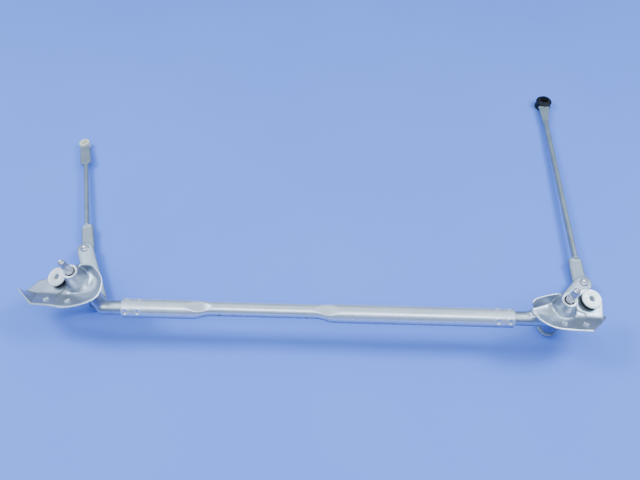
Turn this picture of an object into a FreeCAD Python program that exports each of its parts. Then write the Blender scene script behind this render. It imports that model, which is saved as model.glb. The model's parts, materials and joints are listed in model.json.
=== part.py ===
import FreeCAD, Part
import math
import os

# Windshield wiper linkage frame: a crimped tube between two cast pivot holders.
# Each holder carries a wiper shaft with a crank lever, a ball stud and a link rod
# whose far end is an open ball socket for the motor crank.
# Millimetres. X runs along the tube, Z is up, Y points from the tube to the links.
# The origin is on the surface that the linkage lies on, at the middle of its outline.

Vector = FreeCAD.Vector
Placement = FreeCAD.Placement
Rotation = FreeCAD.Rotation
UP = Vector(0, 0, 1)
ALONG_X = Vector(1, 0, 0)

DIMENSIONS = {
    # frame tube, spigots and crimps
    "tube_length": 452.5, "tube_outer": 22, "tube_bore": 17, "tube_height": 55.2,
    "waist_start": -124, "waist_end": -2, "waist_width": 17, "waist_depth": 19,
    "waist_wall": 1.9, "waist_taper": 32, "waist_lift": 1.6, "waist_tilt": 40,
    "waist_hole": 4, "spigot_outer": 16.9, "spigot_grip": 26,
    "crimp_radius": 3.4, "crimp_depth": 1.8, "crimp_pitch": 13.7, "crimp_first": 5.5,
    "crimp_angle": 28, "crimp_bite": 0.6, "waist_hole_inset": 10.5,
    # pivot holders
    "floor_thick": 3, "rim_height": 13, "rim_wall": 2, "fold_wall": 1.4, "open_stretch": 1.08,
    "open_reach": 5, "ear_hole": 14, "ear_radius": 16, "foot_height": 56,
    "barrel_outer": 19, "barrel_bore": 14, "barrel_length": 74.5, "skirt_height": 18,
    "boss_height": 22, "boss_base": 27, "boss_top": 17.4, "recess_bore": 14.6, "recess_depth": 6,
    "knuckle_extra": 0.8, "arm_slim": 1.2, "saddle_reach": 26,
    # bushes, washers, seal and shaft
    "bush_inner": 10.1, "bush_length": 14, "shaft_outer": 10, "shaft_above": 23,
    "shaft_below": 4.6, "spline_top": 8.8, "spline_length": 9, "thread_outer": 8,
    "thread_length": 8, "tip_height": 1, "tang_rise": 1.7, "peen_flare": 1.6,
    "lever_play": 0.3, "washer_play": 0.1, "clip_play": 0.15, "seal_play": 0.4,
    "thrust_thick": 1.2, "thrust_outer": 14, "circlip_thick": 1, "circlip_outer": 13.4,
    "groove_floor": 8.8, "seal_thick": 2, "wave_thick": 1, "wave_outer": 17,
    # crank levers and ball studs
    "lever_thick": 3.5, "lever_wide": 23, "lever_hub": 9, "stud_bore": 7, "ball_outer": 10,
    "ball_drop": 9, "neck_outer": 5, "collar_outer": 9, "collar_thick": 1,
    "rivet_outer": 11, "rivet_rise": 2.2, "rivet_slope": 2, "boot_outer": 11.5,
    "boot_thick": 1.2, "boot_play": 0.1, "edge_round": 0.6,
    # links and sockets
    "blade_thick": 3, "socket_outer": 13, "socket_flange": 15.6, "socket_top": 3.9,
    "socket_base": 5, "socket_lip": 1.6, "ball_cavity": 10.1, "mouth_outer": 7.4,
    "mouth_height": 1, "mouth_pinch": 0.7, "mouth_flare": 1.2, "rod_overlap": 6,
    # ear grommets
    "grommet_outer": 23, "grommet_lip": 6.2, "grommet_bore": 9.2, "sleeve_outer": 9.1,
    "sleeve_bore": 6.5, "flange_outer": 24.5, "flange_thick": 1.5, "washer_outer": 20,
    # middle of the whole linkage, measured from the middle of the tube
    "centre_x": 0.9, "centre_y": 220.6,
}

# What differs between the two ends. Tilts are in degrees from vertical, positive towards
# +X and +Y; foot points are where each shaft's axis crosses its holder's floor.
# Outlines are in the holder's own floor plane, from the free tip round to the boss.
# A far socket is its diameter, its height above and below the ball, and its cavity; a blade
# is its length, its width at the socket and at the rod, and for the far one its thickness.
# A rod shift is how far the rod lies to the right of the line between its two sockets, and
# each blade turns about its socket to meet the rod there.
# A saddle is the corner of the gap in a holder's wall where the spigot meets its floor.
SIDES = {
    "left": {
        "out": -1, "foot": Vector(-283.4, 31.2, 64.3), "shaft_tilt": (-10, -9),
        "floor_tilt": (-18, -13), "lever_length": 84, "lever_heading": 112,
        "ear": (-25.1, 4), "elbow": -248, "saddle": None, "link_far": Vector(-358.4, 326.4, 7.95),
        "far_roll": (-10, 0), "far_socket": (16.5, 4, 6.6, 9.2), "rod_outer": 6.5,
        "rod_shift": 1.5, "end_wall": True,
        "far_blade": (44, 14, 16, 6), "near_blade": (43, 18, 16),
        "rim": [(-73, -9), (-50, -31), (-25, -35), (-2, -39.5), (22, -37.5), (40, -29),
                (42, -8), (25, 11.5), (4, 14)],
        "fold": [(-73, -7), (-53, -12.5), (-30, -15.5), (-7, -18.5), (14, -20), (27, -14),
                 (28, -3), (19, 7), (4, 11)],
        "edge": [(-25.1, 20), (-44, 7), (-55, 6.5)],
    },
    "right": {
        "out": 1, "foot": Vector(283.7, 10.5, 63.3), "shaft_tilt": (3, -9),
        "floor_tilt": (8, -12), "lever_length": 86.4, "lever_heading": 49,
        "ear": (33.8, 11.5), "elbow": 268, "saddle": (-60, -18.9), "link_far": Vector(356.9, 453, 8.6),
        "far_roll": (0, 0), "far_socket": (25, 6.9, 8.6, 11.2), "rod_outer": 8,
        "rod_shift": -3, "end_wall": False,
        "far_blade": (48, 17, 9, 4), "near_blade": (40, 20, 18),
        "rim": [(25, -32), (-2, -32.7), (-20, -31), (-36, -23), (-44.5, -11), (-41, 2),
                (-22, 10), (-5, 14)],
        "fold": [(48, -10.3), (5, -11), (-12, -13), (-28, -13), (-37, -9), (-36, -3),
                 (-20, 4), (-5, 9)],
        "edge": [(33.8, 27.5), (46, 22), (49.5, 8)],
    },
}

document = FreeCAD.newDocument("wiper_linkage")
sheet = document.addObject("Spreadsheet::Sheet", "Dimensions")
for row, (alias, value) in enumerate(DIMENSIONS.items(), start=1):
    sheet.set(f"A{row}", alias)
    sheet.set(f"B{row}", str(value))
    sheet.setAlias(f"B{row}", alias)
document.recompute()
D = DIMENSIONS
DRILL_REACH = 150
FLAT_FACE = 0.99
nodes = []


def bind(item, **formulas):
    """Bind properties of an object to formulas over the sheet's cells."""
    for name, formula in formulas.items():
        for alias in sorted(DIMENSIONS, key=len, reverse=True):
            formula = formula.replace("[" + alias + "]", "Dimensions." + alias)
        item.setExpression(name, formula)
    return item


def primitive(kind, name, where=None, **formulas):
    """A Part primitive placed in its piece's own frame."""
    item = document.addObject("Part::" + kind, name)
    item.Placement = where or Placement()
    return bind(item, **formulas)


def cylinder(name, diameter, length, base=0, where=None):
    """A cylinder on the local Z axis: diameter, length and base are formulas."""
    item = primitive("Cylinder", name, where, Radius=f"({diameter}) / 2", Height=length)
    if base:
        slid = (where or Placement()) * Placement(Vector(0, 0, base), Rotation())
        item.Placement = slid
    return item


def drill(name, diameter, where=None):
    """A cutting cylinder that runs well past the part both ways."""
    return cylinder(name, diameter, str(2 * DRILL_REACH), -DRILL_REACH, where)


def cut(name, base, *tools):
    """Cut the tools from the base one after another."""
    for number, tool in enumerate(tools):
        step = document.addObject("Part::Cut", f"{name}_cut{number}")
        step.Base = base
        step.Tool = tool
        base = step
    return base


def fuse(name, shapes):
    """One solid from several."""
    joined = document.addObject("Part::MultiFuse", name + "_fuse")
    joined.Shapes = shapes
    joined.Refine = True
    return joined


def node(item, label, where):
    """Name a finished piece and put it where it belongs."""
    item.Label = label
    item.Placement = Placement(Vector(-D["centre_x"], -D["centre_y"], 0), Rotation()) * where
    nodes.append(item)
    return item


def tilted(tilt):
    """Unit vector leaning by two angles from vertical, towards +X and +Y."""
    lean = Vector(math.tan(math.radians(tilt[0])), math.tan(math.radians(tilt[1])), 1)
    return lean.normalize()


def frame_at(origin, axis, heading):
    """Placement whose Z is the axis and whose X is the heading laid square to it."""
    across = heading - axis * heading.dot(axis)
    across.normalize()
    return Placement(origin, Rotation(across, axis.cross(across), axis, "ZXY"))


def slot_sketch(body, name, outline):
    """A sketch in a body's XY plane, closed through the given edges."""
    sketch = body.newObject("Sketcher::SketchObject", name)
    plane = next(f for f in body.Origin.OriginFeatures if f.Role == "XY_Plane")
    sketch.AttachmentSupport = (plane, [""])
    sketch.MapMode = "FlatFace"
    for edge in outline:
        sketch.addGeometry(edge, False)
    return sketch


def tapered_outline(length, start_radius, end_radius):
    """Outline of a bar with round ends of two radii, from the origin along X."""
    lean = math.asin((start_radius - end_radius) / length)
    sine = math.sin(lean)
    cosine = math.cos(lean)
    start_up = Vector(start_radius * sine, start_radius * cosine, 0)
    start_down = Vector(start_radius * sine, -start_radius * cosine, 0)
    end_up = Vector(length + end_radius * sine, end_radius * cosine, 0)
    end_down = Vector(length + end_radius * sine, -end_radius * cosine, 0)
    return [
        Part.LineSegment(start_up, end_up),
        Part.Arc(end_up, Vector(length + end_radius, 0, 0), end_down),
        Part.LineSegment(end_down, start_down),
        Part.Arc(start_down, Vector(-start_radius, 0, 0), start_up),
    ]


def padded(name, outline, thickness):
    """A PartDesign body padded both ways from a flat outline, with softened edges."""
    body = document.addObject("PartDesign::Body", name)
    sketch = slot_sketch(body, name + "_outline", outline)
    pad = body.newObject("PartDesign::Pad", name + "_pad")
    pad.Profile = sketch
    pad.Midplane = True
    bind(pad, Length=thickness)
    document.recompute()
    soft = body.newObject("PartDesign::Fillet", name + "_round")
    flat = [f"Face{i + 1}" for i, face in enumerate(pad.Shape.Faces)
            if abs(face.normalAt(0, 0).z) > FLAT_FACE]
    soft.Base = (pad, flat)
    bind(soft, Radius="[edge_round]")
    body.Tip = soft
    return body


# ---------------------------------------------------------------- frame tube
def tube_skin(name, full, waist_wide, waist_deep):
    """Round tube drawn through a flattened waist, as one ruled loft."""
    half = D["tube_length"] / 2
    lift = D["waist_lift"]
    stations = [(-half, 0), (D["waist_start"] - D["waist_taper"], 0), (D["waist_start"], 1),
                (D["waist_end"], 1), (D["waist_end"] + D["waist_taper"], 0), (half, 0)]
    sections = []
    for number, (along, pressed) in enumerate(stations):
        section = document.addObject("Part::Ellipse", f"{name}_section{number}")
        wide, deep = (waist_deep, waist_wide) if pressed else (full, full)
        bind(section, MajorRadius=f"({wide}) / 2 + 0.001", MinorRadius=f"({deep}) / 2")
        tilt = D["waist_tilt"]
        lean = Rotation(ALONG_X, tilt)
        turn = lean * Rotation(Vector(0, 1, 0), 90)
        shift = lean.multVec(Vector(0, lift * pressed, 0))
        section.Placement = Placement(Vector(along, 0, 0) + shift, turn)
        sections.append(section)
    loft = document.addObject("Part::Loft", name)
    loft.Sections = sections
    loft.Solid = True
    loft.Ruled = True
    return loft


def crimp_places():
    """Placements of the crimp centres on the tube's skin, local Z pointing outwards."""
    places = []
    for end in (-1, 1):
        for step in (0, 1):
            inset = D["crimp_first"] + step * D["crimp_pitch"]
            along = end * (D["tube_length"] / 2 - inset)
            for quarter in range(4):
                angle = math.radians(D["crimp_angle"] + 90 * quarter)
                out = Vector(0, -math.cos(angle), math.sin(angle))
                places.append((Vector(along, 0, 0), out))
    return places


def frame_tube():
    outer = tube_skin("tube_outer_skin", "[tube_outer]", "[waist_width]", "[waist_depth]")
    inner = tube_skin("tube_inner_skin", "[tube_bore]", "[waist_width] - 2 * [waist_wall]",
                      "[waist_depth] - 2 * [waist_wall]")
    tools = [inner]
    radius = D["crimp_radius"]
    for number, (centre, out) in enumerate(crimp_places()):
        rise = D["tube_outer"] / 2 + radius - D["crimp_depth"]
        ball = primitive("Sphere", f"crimp{number}", Radius="[crimp_radius]")
        ball.Placement = Placement(centre + out * rise, Rotation())
        tools.append(ball)
    front = Vector(0, -1, 0)
    inset_by = D["waist_hole_inset"]
    for number, along in enumerate((D["waist_start"] + inset_by, D["waist_end"] - inset_by)):
        where = Placement(Vector(along, 0, 0), Rotation(UP, front))
        tools.append(cylinder(f"waist_hole{number}", "[waist_hole]", "[tube_outer]", 0, where))
    tube = cut("tube", outer, *tools)
    node(tube, "frame_tube", Placement(Vector(0, 0, D["tube_height"]), Rotation()))


# ------------------------------------------------------------- pivot holders
def inset(points, amount, inward):
    """Move each point of an open outline sideways by an amount, towards the inside."""
    moved = []
    for number, point in enumerate(points):
        before = points[max(number - 1, 0)]
        after = points[min(number + 1, len(points) - 1)]
        run = (after - before).normalize()
        side = Vector(-run.y, run.x, 0) * inward
        moved.append(point + side * amount)
    return moved


def dish_wire(name, wall, edge, height):
    """Closed outline: end face, curved wall and open edge, at a height over the floor."""
    wall = [point + UP * height for point in wall]
    edge = [point + UP * height for point in edge]
    curve = Part.BSplineCurve()
    curve.interpolate(wall[1:])
    edges = [Part.LineSegment(wall[0], wall[1]).toShape(), curve.toShape()]
    corners = [wall[-1]] + edge + [wall[0]]
    for start, end in zip(corners, corners[1:]):
        edges.append(Part.LineSegment(start, end).toShape())
    wire = document.addObject("Part::Feature", name)
    wire.Shape = Part.Wire(edges)
    return wire


def loft(name, wires):
    item = document.addObject("Part::Loft", name)
    item.Sections = wires
    item.Solid = True
    item.Ruled = True
    return item


def dish(name, side):
    """Blank of a holder's floor and flared wall, and the hollow to cut from it.

    The hollow runs past the blank along the ear's edge, and past a free end of the wall.
    """
    flat = [Vector(x, y, 0) for x, y in side["edge"]]
    rim = [Vector(x, y, 0) for x, y in side["rim"]]
    fold = [Vector(x, y, 0) for x, y in side["fold"]]
    past_flat = [point * D["open_stretch"] for point in flat]
    lip = inset(rim, D["rim_wall"], -side["out"])
    crease = inset(fold, D["fold_wall"], -side["out"])
    if not side["end_wall"]:
        for wall in (lip, crease):
            wall[0] += (wall[0] - wall[1]).normalize() * D["open_reach"]
    thick = D["floor_thick"]
    height = D["rim_height"]
    outer = loft(name + "_outer", [dish_wire(name + "_under", fold, flat, -thick),
                                   dish_wire(name + "_rim", rim, flat, height)])
    over = [high + (high - low) / height for high, low in zip(lip, crease)]
    inner = loft(name + "_inner", [dish_wire(name + "_crease", crease, past_flat, 0),
                                   dish_wire(name + "_lip", over, past_flat, height + 1)])
    return outer, inner


def spigot_end(side):
    """Start of the spigot inside the tube, and its heading towards the holder."""
    out = side["out"]
    start = out * (D["tube_length"] / 2 - D["spigot_grip"])
    return Vector(start, 0, D["tube_height"]), Vector(out, 0, 0)


def barrel_end():
    """Height of the barrel's lower end over the middle of the lever."""
    return D["lever_thick"] / 2 + D["wave_thick"] + D["lever_play"]


def saddle_gap(name, side):
    """The gap in the wall over a spigot that runs level with the floor, as cutting tools."""
    if not side["saddle"]:
        return []
    corner = Placement(Vector(*side["saddle"], 0), Rotation())
    return [primitive("Box", name + "_saddle_gap", corner, Length="[saddle_reach]",
                      Width="[spigot_outer]", Height="2 * [rim_height]")]


def pivot_holder(name, side, frames):
    holder = frames["floor"]
    into = holder.inverse()
    axis = into * frames["pivot"]
    outer, hollow = dish(name + "_dish", side)
    ear = Vector(side["ear"][0], side["ear"][1], 0)
    shell = cut(name + "_shell", outer, hollow, *saddle_gap(name, side))
    ear_plate = cylinder(name + "_ear", "2 * [ear_radius]", "[floor_thick]", -D["floor_thick"],
                         Placement(ear, Rotation()))
    barrel = cylinder(name + "_barrel", "[barrel_outer]", "[barrel_length]", barrel_end(), axis)
    foot = D["foot_height"]
    boss = primitive("Cone", name + "_boss", axis * Placement(Vector(0, 0, foot), Rotation()),
                     Radius1="[boss_base] / 2", Radius2="[boss_top] / 2",
                     Height="[boss_height]")
    skirt = primitive("Cone", name + "_skirt",
                      axis * Placement(Vector(0, 0, foot - D["skirt_height"]), Rotation()),
                      Radius1="[barrel_outer] / 2", Radius2="[boss_base] / 2",
                      Height="[skirt_height]")
    start, heading = spigot_end(side)
    elbow = Vector(side["elbow"], 0, D["tube_height"])
    run = (elbow - start).Length
    spigot = cylinder(name + "_spigot", "[spigot_outer]", str(run), 0,
                      into * Placement(start, Rotation(UP, heading)))
    knuckle = primitive("Sphere", name + "_knuckle",
                        into * Placement(elbow, Rotation(UP, heading)),
                        Radius="([spigot_outer] + [knuckle_extra]) / 2")
    reach = frames["arm_end"] - elbow
    arm = cylinder(name + "_arm", "[spigot_outer] - [arm_slim]", str(reach.Length), 0,
                   into * Placement(elbow, Rotation(UP, reach)))
    body = fuse(name, [shell, ear_plate, barrel, boss, skirt, spigot, knuckle, arm])
    tools = [
        drill(name + "_bore", "[barrel_bore]", axis),
        cylinder(name + "_recess", "[recess_bore]", "2 * [recess_depth]",
                 foot + D["boss_height"] - D["recess_depth"], axis),
        drill(name + "_ear_hole", "[ear_hole]", Placement(ear, Rotation())),
    ]
    for number, (centre, out) in enumerate(crimp_places()):
        if centre.x * side["out"] > 0:
            depth = D["spigot_outer"] / 2 + D["crimp_radius"] - D["crimp_bite"]
            place = Vector(centre.x, 0, D["tube_height"]) + out * depth
            tools.append(primitive("Sphere", f"{name}_pocket{number}",
                                   into * Placement(place, Rotation()),
                                   Radius="[crimp_radius]"))
    node(cut(name, body, *tools), name + "_pivot_holder", holder)


# ------------------------------------------------- shaft, bushes and washers
def ring(name, outer, inner, length, base, where):
    """A plain washer or bush, standing on the local Z axis."""
    blank = cylinder(name + "_blank", outer, length, base)
    node(cut(name, blank, drill(name + "_hole", inner)), name, where)


def pivot_stack(name, side, frames):
    """Bushes, seal and washers that guide one wiper shaft."""
    pivot = frames["pivot"]
    shelf = D["foot_height"] + D["boss_height"] - D["recess_depth"]
    ring(name + "_lower_bush", "[barrel_bore]", "[bush_inner]", "[bush_length]", barrel_end(),
         pivot)
    ring(name + "_upper_bush", "[barrel_bore]", "[bush_inner]", "[bush_length]",
         shelf - D["bush_length"], pivot)
    ring(name + "_thrust_washer", "[thrust_outer]", "[bush_inner]", "[thrust_thick]",
         shelf, pivot)
    clip = shelf + D["thrust_thick"] + D["clip_play"]
    ring(name + "_circlip", "[circlip_outer]", "[groove_floor]", "[circlip_thick]", clip, pivot)
    ring(name + "_shaft_seal", "[recess_bore]", "[bush_inner]", "[seal_thick]",
         clip + D["circlip_thick"] + D["seal_play"], pivot)
    ring(name + "_wave_washer", "[wave_outer]", "[bush_inner]", "[wave_thick]",
         D["lever_thick"] / 2 + D["washer_play"], pivot)


def wiper_shaft(name, side, frames):
    """Plain shaft with a circlip groove, a splined cone and a threaded end."""
    top = D["foot_height"] + D["boss_height"]
    hub = D["lever_thick"] / 2
    thread_top = top + D["shaft_above"] - D["tip_height"]
    thread_base = thread_top - D["thread_length"]
    cone_base = thread_base - D["spline_length"]
    stem = cylinder(name + "_stem", "[shaft_outer]", str(cone_base - hub), hub)
    tang = cylinder(name + "_tang", "[lever_hub]", "[lever_thick] + [shaft_below] - [tang_rise]",
                    D["tang_rise"] - hub - D["shaft_below"])
    rivet = primitive("Cone", name + "_peen",
                      Placement(Vector(0, 0, -hub - D["shaft_below"]), Rotation()),
                      Radius1="[lever_hub] / 2", Radius2="[lever_hub] / 2 + [peen_flare]",
                      Height="[shaft_below]")
    cone = primitive("Cone", name + "_cone", Placement(Vector(0, 0, cone_base), Rotation()),
                     Radius1="[shaft_outer] / 2", Radius2="[spline_top] / 2",
                     Height="[spline_length]")
    thread = cylinder(name + "_thread", "[thread_outer]", "[thread_length]", thread_base)
    tip = primitive("Cone", name + "_tip", Placement(Vector(0, 0, thread_top), Rotation()),
                    Radius1="[thread_outer] / 2", Radius2="[thread_outer] / 2 - [tip_height]",
                    Height="[tip_height]")
    clip = top - D["recess_depth"] + D["thrust_thick"] + D["clip_play"] / 2
    groove_length = "[circlip_thick] + [clip_play]"
    groove = cylinder(name + "_groove_blank", "[barrel_bore]", groove_length, clip)
    core = cylinder(name + "_groove_core", "[groove_floor]", groove_length, clip)
    solid = fuse(name + "_shaft", [stem, tang, rivet, cone, thread, tip])
    piece = cut(name + "_shaft", solid, cut(name + "_groove", groove, core))
    node(piece, name + "_wiper_shaft", frames["pivot"])


def crank_lever(name, side, frames):
    """Flat bar riveted to the shaft at one end and to the ball stud at the other."""
    outline = tapered_outline(side["lever_length"], D["lever_wide"] / 2, D["lever_wide"] / 2 - 1)
    bar = padded(name + "_lever_bar", outline, "[lever_thick]")
    hub = drill(name + "_hub_hole", "[lever_hub]")
    end = Placement(Vector(side["lever_length"], 0, 0), Rotation())
    hole = drill(name + "_stud_hole", "[stud_bore]", end)
    node(cut(name + "_lever", bar, hub, hole), name + "_crank_lever", frames["lever"])


def ball_stud(name, side, frames):
    """Ball, neck, collar, shank and rivet head; local origin at the ball's centre."""
    drop = D["ball_drop"]
    hub = D["lever_thick"] / 2
    ball = primitive("Sphere", name + "_ball", Radius="[ball_outer] / 2")
    neck = cylinder(name + "_neck", "[neck_outer]", str(drop - hub))
    collar = cylinder(name + "_collar", "[collar_outer]", "[collar_thick]",
                      drop - hub - D["collar_thick"])
    shank = cylinder(name + "_shank", "[stud_bore]", "[lever_thick]", drop - hub)
    head = primitive("Cone", name + "_head", Placement(Vector(0, 0, drop + hub), Rotation()),
                     Radius1="[rivet_outer] / 2", Radius2="[rivet_outer] / 2 - [rivet_slope]",
                     Height="[rivet_rise]")
    piece = fuse(name + "_stud", [ball, neck, collar, shank, head])
    node(piece, name + "_ball_stud", frames["ball"])
    ring(name + "_dust_boot", "[boot_outer]", "[neck_outer] + [boot_play]", "[boot_thick]",
         drop - hub - D["collar_thick"] - D["boot_thick"] - D["boot_play"], frames["ball"])


# --------------------------------------------------------------------- links
def near_socket(name, frames):
    """Nylon cup that snaps over the lever's ball and presses into the link's blade."""
    cup = cylinder(name + "_cup", "[socket_outer]", "[socket_top] + [socket_base]",
                   -D["socket_base"])
    flange = cylinder(name + "_flange", "[socket_flange]", "[socket_lip]", D["blade_thick"] / 2)
    cavity = primitive("Sphere", name + "_cavity", Radius="[ball_cavity] / 2")
    mouth = cylinder(name + "_mouth", "[mouth_outer]", "2 * [socket_top]")
    piece = cut(name + "_near", fuse(name + "_near", [cup, flange]), cavity, mouth)
    node(piece, name + "_lever_socket", frames["ball"])


def far_socket(name, side, frames):
    """Open ball socket at the link's free end, for the motor crank's ball stud."""
    outer, rise, base, cavity_size = side["far_socket"]
    cup = cylinder(name + "_far_cup", str(outer), str(rise + base), -base)
    cavity = primitive("Sphere", name + "_far_cavity")
    cavity.Radius = cavity_size / 2
    mouth = primitive("Cone", name + "_far_mouth",
                      Placement(Vector(0, 0, D["mouth_height"]), Rotation()),
                      Radius1=f"{cavity_size} / 2 - [mouth_pinch]",
                      Radius2=f"{cavity_size} / 2 + [mouth_flare]", Height=str(rise))
    piece = cut(name + "_far", cup, cavity, mouth)
    node(piece, name + "_motor_socket", frames["far"])


def link_rod(name, side, frames):
    """Round rod flattened at both ends into blades that hold the sockets."""
    near = frames["ball"]
    far = frames["far"]
    back = near.inverse()
    near_reach, near_wide, near_neck = side["near_blade"]
    far_reach, far_wide, far_neck, far_thick = side["far_blade"]
    near_bar = padded(name + "_near_blade",
                      tapered_outline(near_reach, near_wide / 2, near_neck / 2),
                      "[blade_thick]")
    shift = -side["rod_shift"]
    near_bar.Placement = Placement(Vector(), Rotation(ALONG_X, Vector(near_reach, shift, 0)))
    far_bar = padded(name + "_far_blade",
                     tapered_outline(far_reach, far_wide / 2, far_neck / 2), str(far_thick))
    far_turn = math.degrees(math.atan2(shift, -far_reach))
    far_bar.Placement = back * far * Placement(Vector(), Rotation(UP, far_turn))
    overlap = D["rod_overlap"]
    start = near * Vector(near_reach - overlap, shift, 0)
    end = far * Vector(-far_reach + overlap, shift, 0)
    reach = end - start
    rod = cylinder(name + "_rod", str(side["rod_outer"]), str(reach.Length), 0,
                   back * Placement(start, Rotation(UP, reach)))
    nose = primitive("Cone", name + "_nose",
                     back * Placement(start - reach.normalize() * overlap, Rotation(UP, reach)),
                     Radius1="[blade_thick] / 2", Radius2=f"{side['rod_outer']} / 2",
                     Height="[rod_overlap]")
    solid = fuse(name + "_link", [near_bar, far_bar, rod, nose])
    near_hole = drill(name + "_near_hole", "[socket_outer]")
    far_hole = drill(name + "_far_hole", str(side["far_socket"][0]), back * far)
    node(cut(name + "_link", solid, near_hole, far_hole), name + "_link_rod", near)


# ------------------------------------------------------------- ear fastening
def ear_mount(name, side, frames):
    """Rubber grommet in the ear with a flanged steel sleeve and a lower washer."""
    ear = frames["ear"]
    lip = D["grommet_lip"]
    thick = D["floor_thick"]
    below = -thick - lip
    upper = cylinder(name + "_upper_lip", "[grommet_outer]", "[grommet_lip]")
    lower = cylinder(name + "_lower_lip", "[grommet_outer]", "[grommet_lip]", below)
    waist = cylinder(name + "_waist", "[ear_hole]", "[floor_thick] + 2 * [grommet_lip]", below)
    bore = drill(name + "_grommet_bore", "[grommet_bore]")
    grommet = cut(name + "_grommet", fuse(name + "_grommet", [upper, lower, waist]), bore)
    node(grommet, name + "_ear_grommet", ear)
    flange = cylinder(name + "_sleeve_flange", "[flange_outer]", "[flange_thick]", lip)
    tube = cylinder(name + "_sleeve_tube", "[sleeve_outer]",
                    "2 * [grommet_lip] + [floor_thick] + [flange_thick]",
                    below - D["flange_thick"])
    hole = drill(name + "_sleeve_bore", "[sleeve_bore]")
    sleeve = cut(name + "_sleeve", fuse(name + "_sleeve", [flange, tube]), hole)
    node(sleeve, name + "_ear_sleeve", ear)
    ring(name + "_ear_washer", "[washer_outer]", "[sleeve_outer]", "[flange_thick]",
         below - D["flange_thick"], ear)


def side_frames(side):
    """Every local frame of one end, worked out from its foot point and tilts."""
    axis = tilted(side["shaft_tilt"])
    normal = tilted(side["floor_tilt"])
    pivot_origin = side["foot"] - axis * D["foot_height"]
    heading = math.radians(side["lever_heading"])
    lever = frame_at(pivot_origin, axis, Vector(math.cos(heading), math.sin(heading), 0))
    ball_origin = lever * Vector(side["lever_length"], 0, -D["ball_drop"])
    link_line = side["link_far"] - ball_origin
    floor = frame_at(side["foot"], normal, ALONG_X)
    ear = floor * Placement(Vector(side["ear"][0], side["ear"][1], 0), Rotation())
    arm_rise = (D["tube_height"] - pivot_origin.z) / axis.z
    return {
        "pivot": frame_at(pivot_origin, axis, ALONG_X),
        "lever": lever,
        "ball": frame_at(ball_origin, axis, link_line),
        "far": frame_at(side["link_far"], tilted(side["far_roll"]), link_line),
        "floor": floor,
        "ear": ear,
        "arm_end": pivot_origin + axis * arm_rise,
    }


frame_tube()
for name, side in SIDES.items():
    frames = side_frames(side)
    pivot_holder(name, side, frames)
    pivot_stack(name, side, frames)
    wiper_shaft(name, side, frames)
    crank_lever(name, side, frames)
    ball_stud(name, side, frames)
    near_socket(name, frames)
    far_socket(name, side, frames)
    link_rod(name, side, frames)
    ear_mount(name, side, frames)
document.recompute()

faults = [item.Name for item in document.Objects
          if "Invalid" in item.State or "Error" in item.State]
faults += [item.Label for item in nodes if item.Shape.isNull() or not item.Shape.isValid()]
if faults:
    raise RuntimeError("failed objects: " + ", ".join(faults))

os.makedirs("parts", exist_ok=True)
for item in nodes:
    item.Shape.exportStep(os.path.join("parts", item.Label + ".step"))
    box = item.Shape.BoundBox
    print(f"{item.Label}: {len(item.Shape.Solids)} solid, {item.Shape.Volume:.0f} mm3,"
          f" z {box.ZMin:.2f} to {box.ZMax:.2f}")
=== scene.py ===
import json
import math

import bmesh
import bpy
import numpy as np
from mathutils import Matrix, Vector


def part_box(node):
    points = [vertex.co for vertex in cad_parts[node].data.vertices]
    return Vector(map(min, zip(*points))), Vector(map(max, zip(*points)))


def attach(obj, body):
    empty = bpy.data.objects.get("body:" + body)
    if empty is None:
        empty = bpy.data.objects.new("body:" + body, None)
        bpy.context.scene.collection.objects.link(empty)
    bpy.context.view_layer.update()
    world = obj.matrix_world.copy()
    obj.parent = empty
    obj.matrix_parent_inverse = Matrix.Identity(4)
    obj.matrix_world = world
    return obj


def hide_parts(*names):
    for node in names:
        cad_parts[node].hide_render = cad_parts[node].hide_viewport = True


# Looks of a windshield wiper linkage: frame tube, cast pivot holders, shafts, levers and
# links. Profiles and outlines are in millimetres in each piece's own local frame, and the
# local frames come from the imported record's joints and mounts.

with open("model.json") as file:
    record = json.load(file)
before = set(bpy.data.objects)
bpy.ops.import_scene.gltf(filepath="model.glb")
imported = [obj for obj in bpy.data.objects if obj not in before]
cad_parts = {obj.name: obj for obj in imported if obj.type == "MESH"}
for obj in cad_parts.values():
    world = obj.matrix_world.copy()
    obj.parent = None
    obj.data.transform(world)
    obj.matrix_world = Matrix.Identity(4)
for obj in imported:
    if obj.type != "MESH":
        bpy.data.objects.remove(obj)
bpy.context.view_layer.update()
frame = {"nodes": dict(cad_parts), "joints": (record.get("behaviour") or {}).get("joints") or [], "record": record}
record = frame["record"]
joints = {joint["name"]: joint for joint in frame["joints"]}
mounts = {mount["name"]: mount for mount in record["mounts"]}

MM = 0.001
ALONG_X = Vector((1, 0, 0))
SIDES = ("left", "right")
TURN = 2 * math.pi

# Heights along each shaft's axis, from the middle of its lever.
FOOT_HEIGHT = 56
BOSS_TOP = 78
RECESS_DEPTH = 6
LEVER_HALF = 1.75
BALL_DROP = 9


# ------------------------------------------------------------------ local frames
def local_frame(origin, axis, heading):
    """Matrix from local millimetres to the row frame: Z is the axis, X the heading."""
    across = (heading - axis * heading.dot(axis)).normalized()
    turn = Matrix((across, axis.cross(across), axis)).transposed()
    return Matrix.Translation(origin) @ turn.to_4x4() @ Matrix.Scale(MM, 4)


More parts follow.
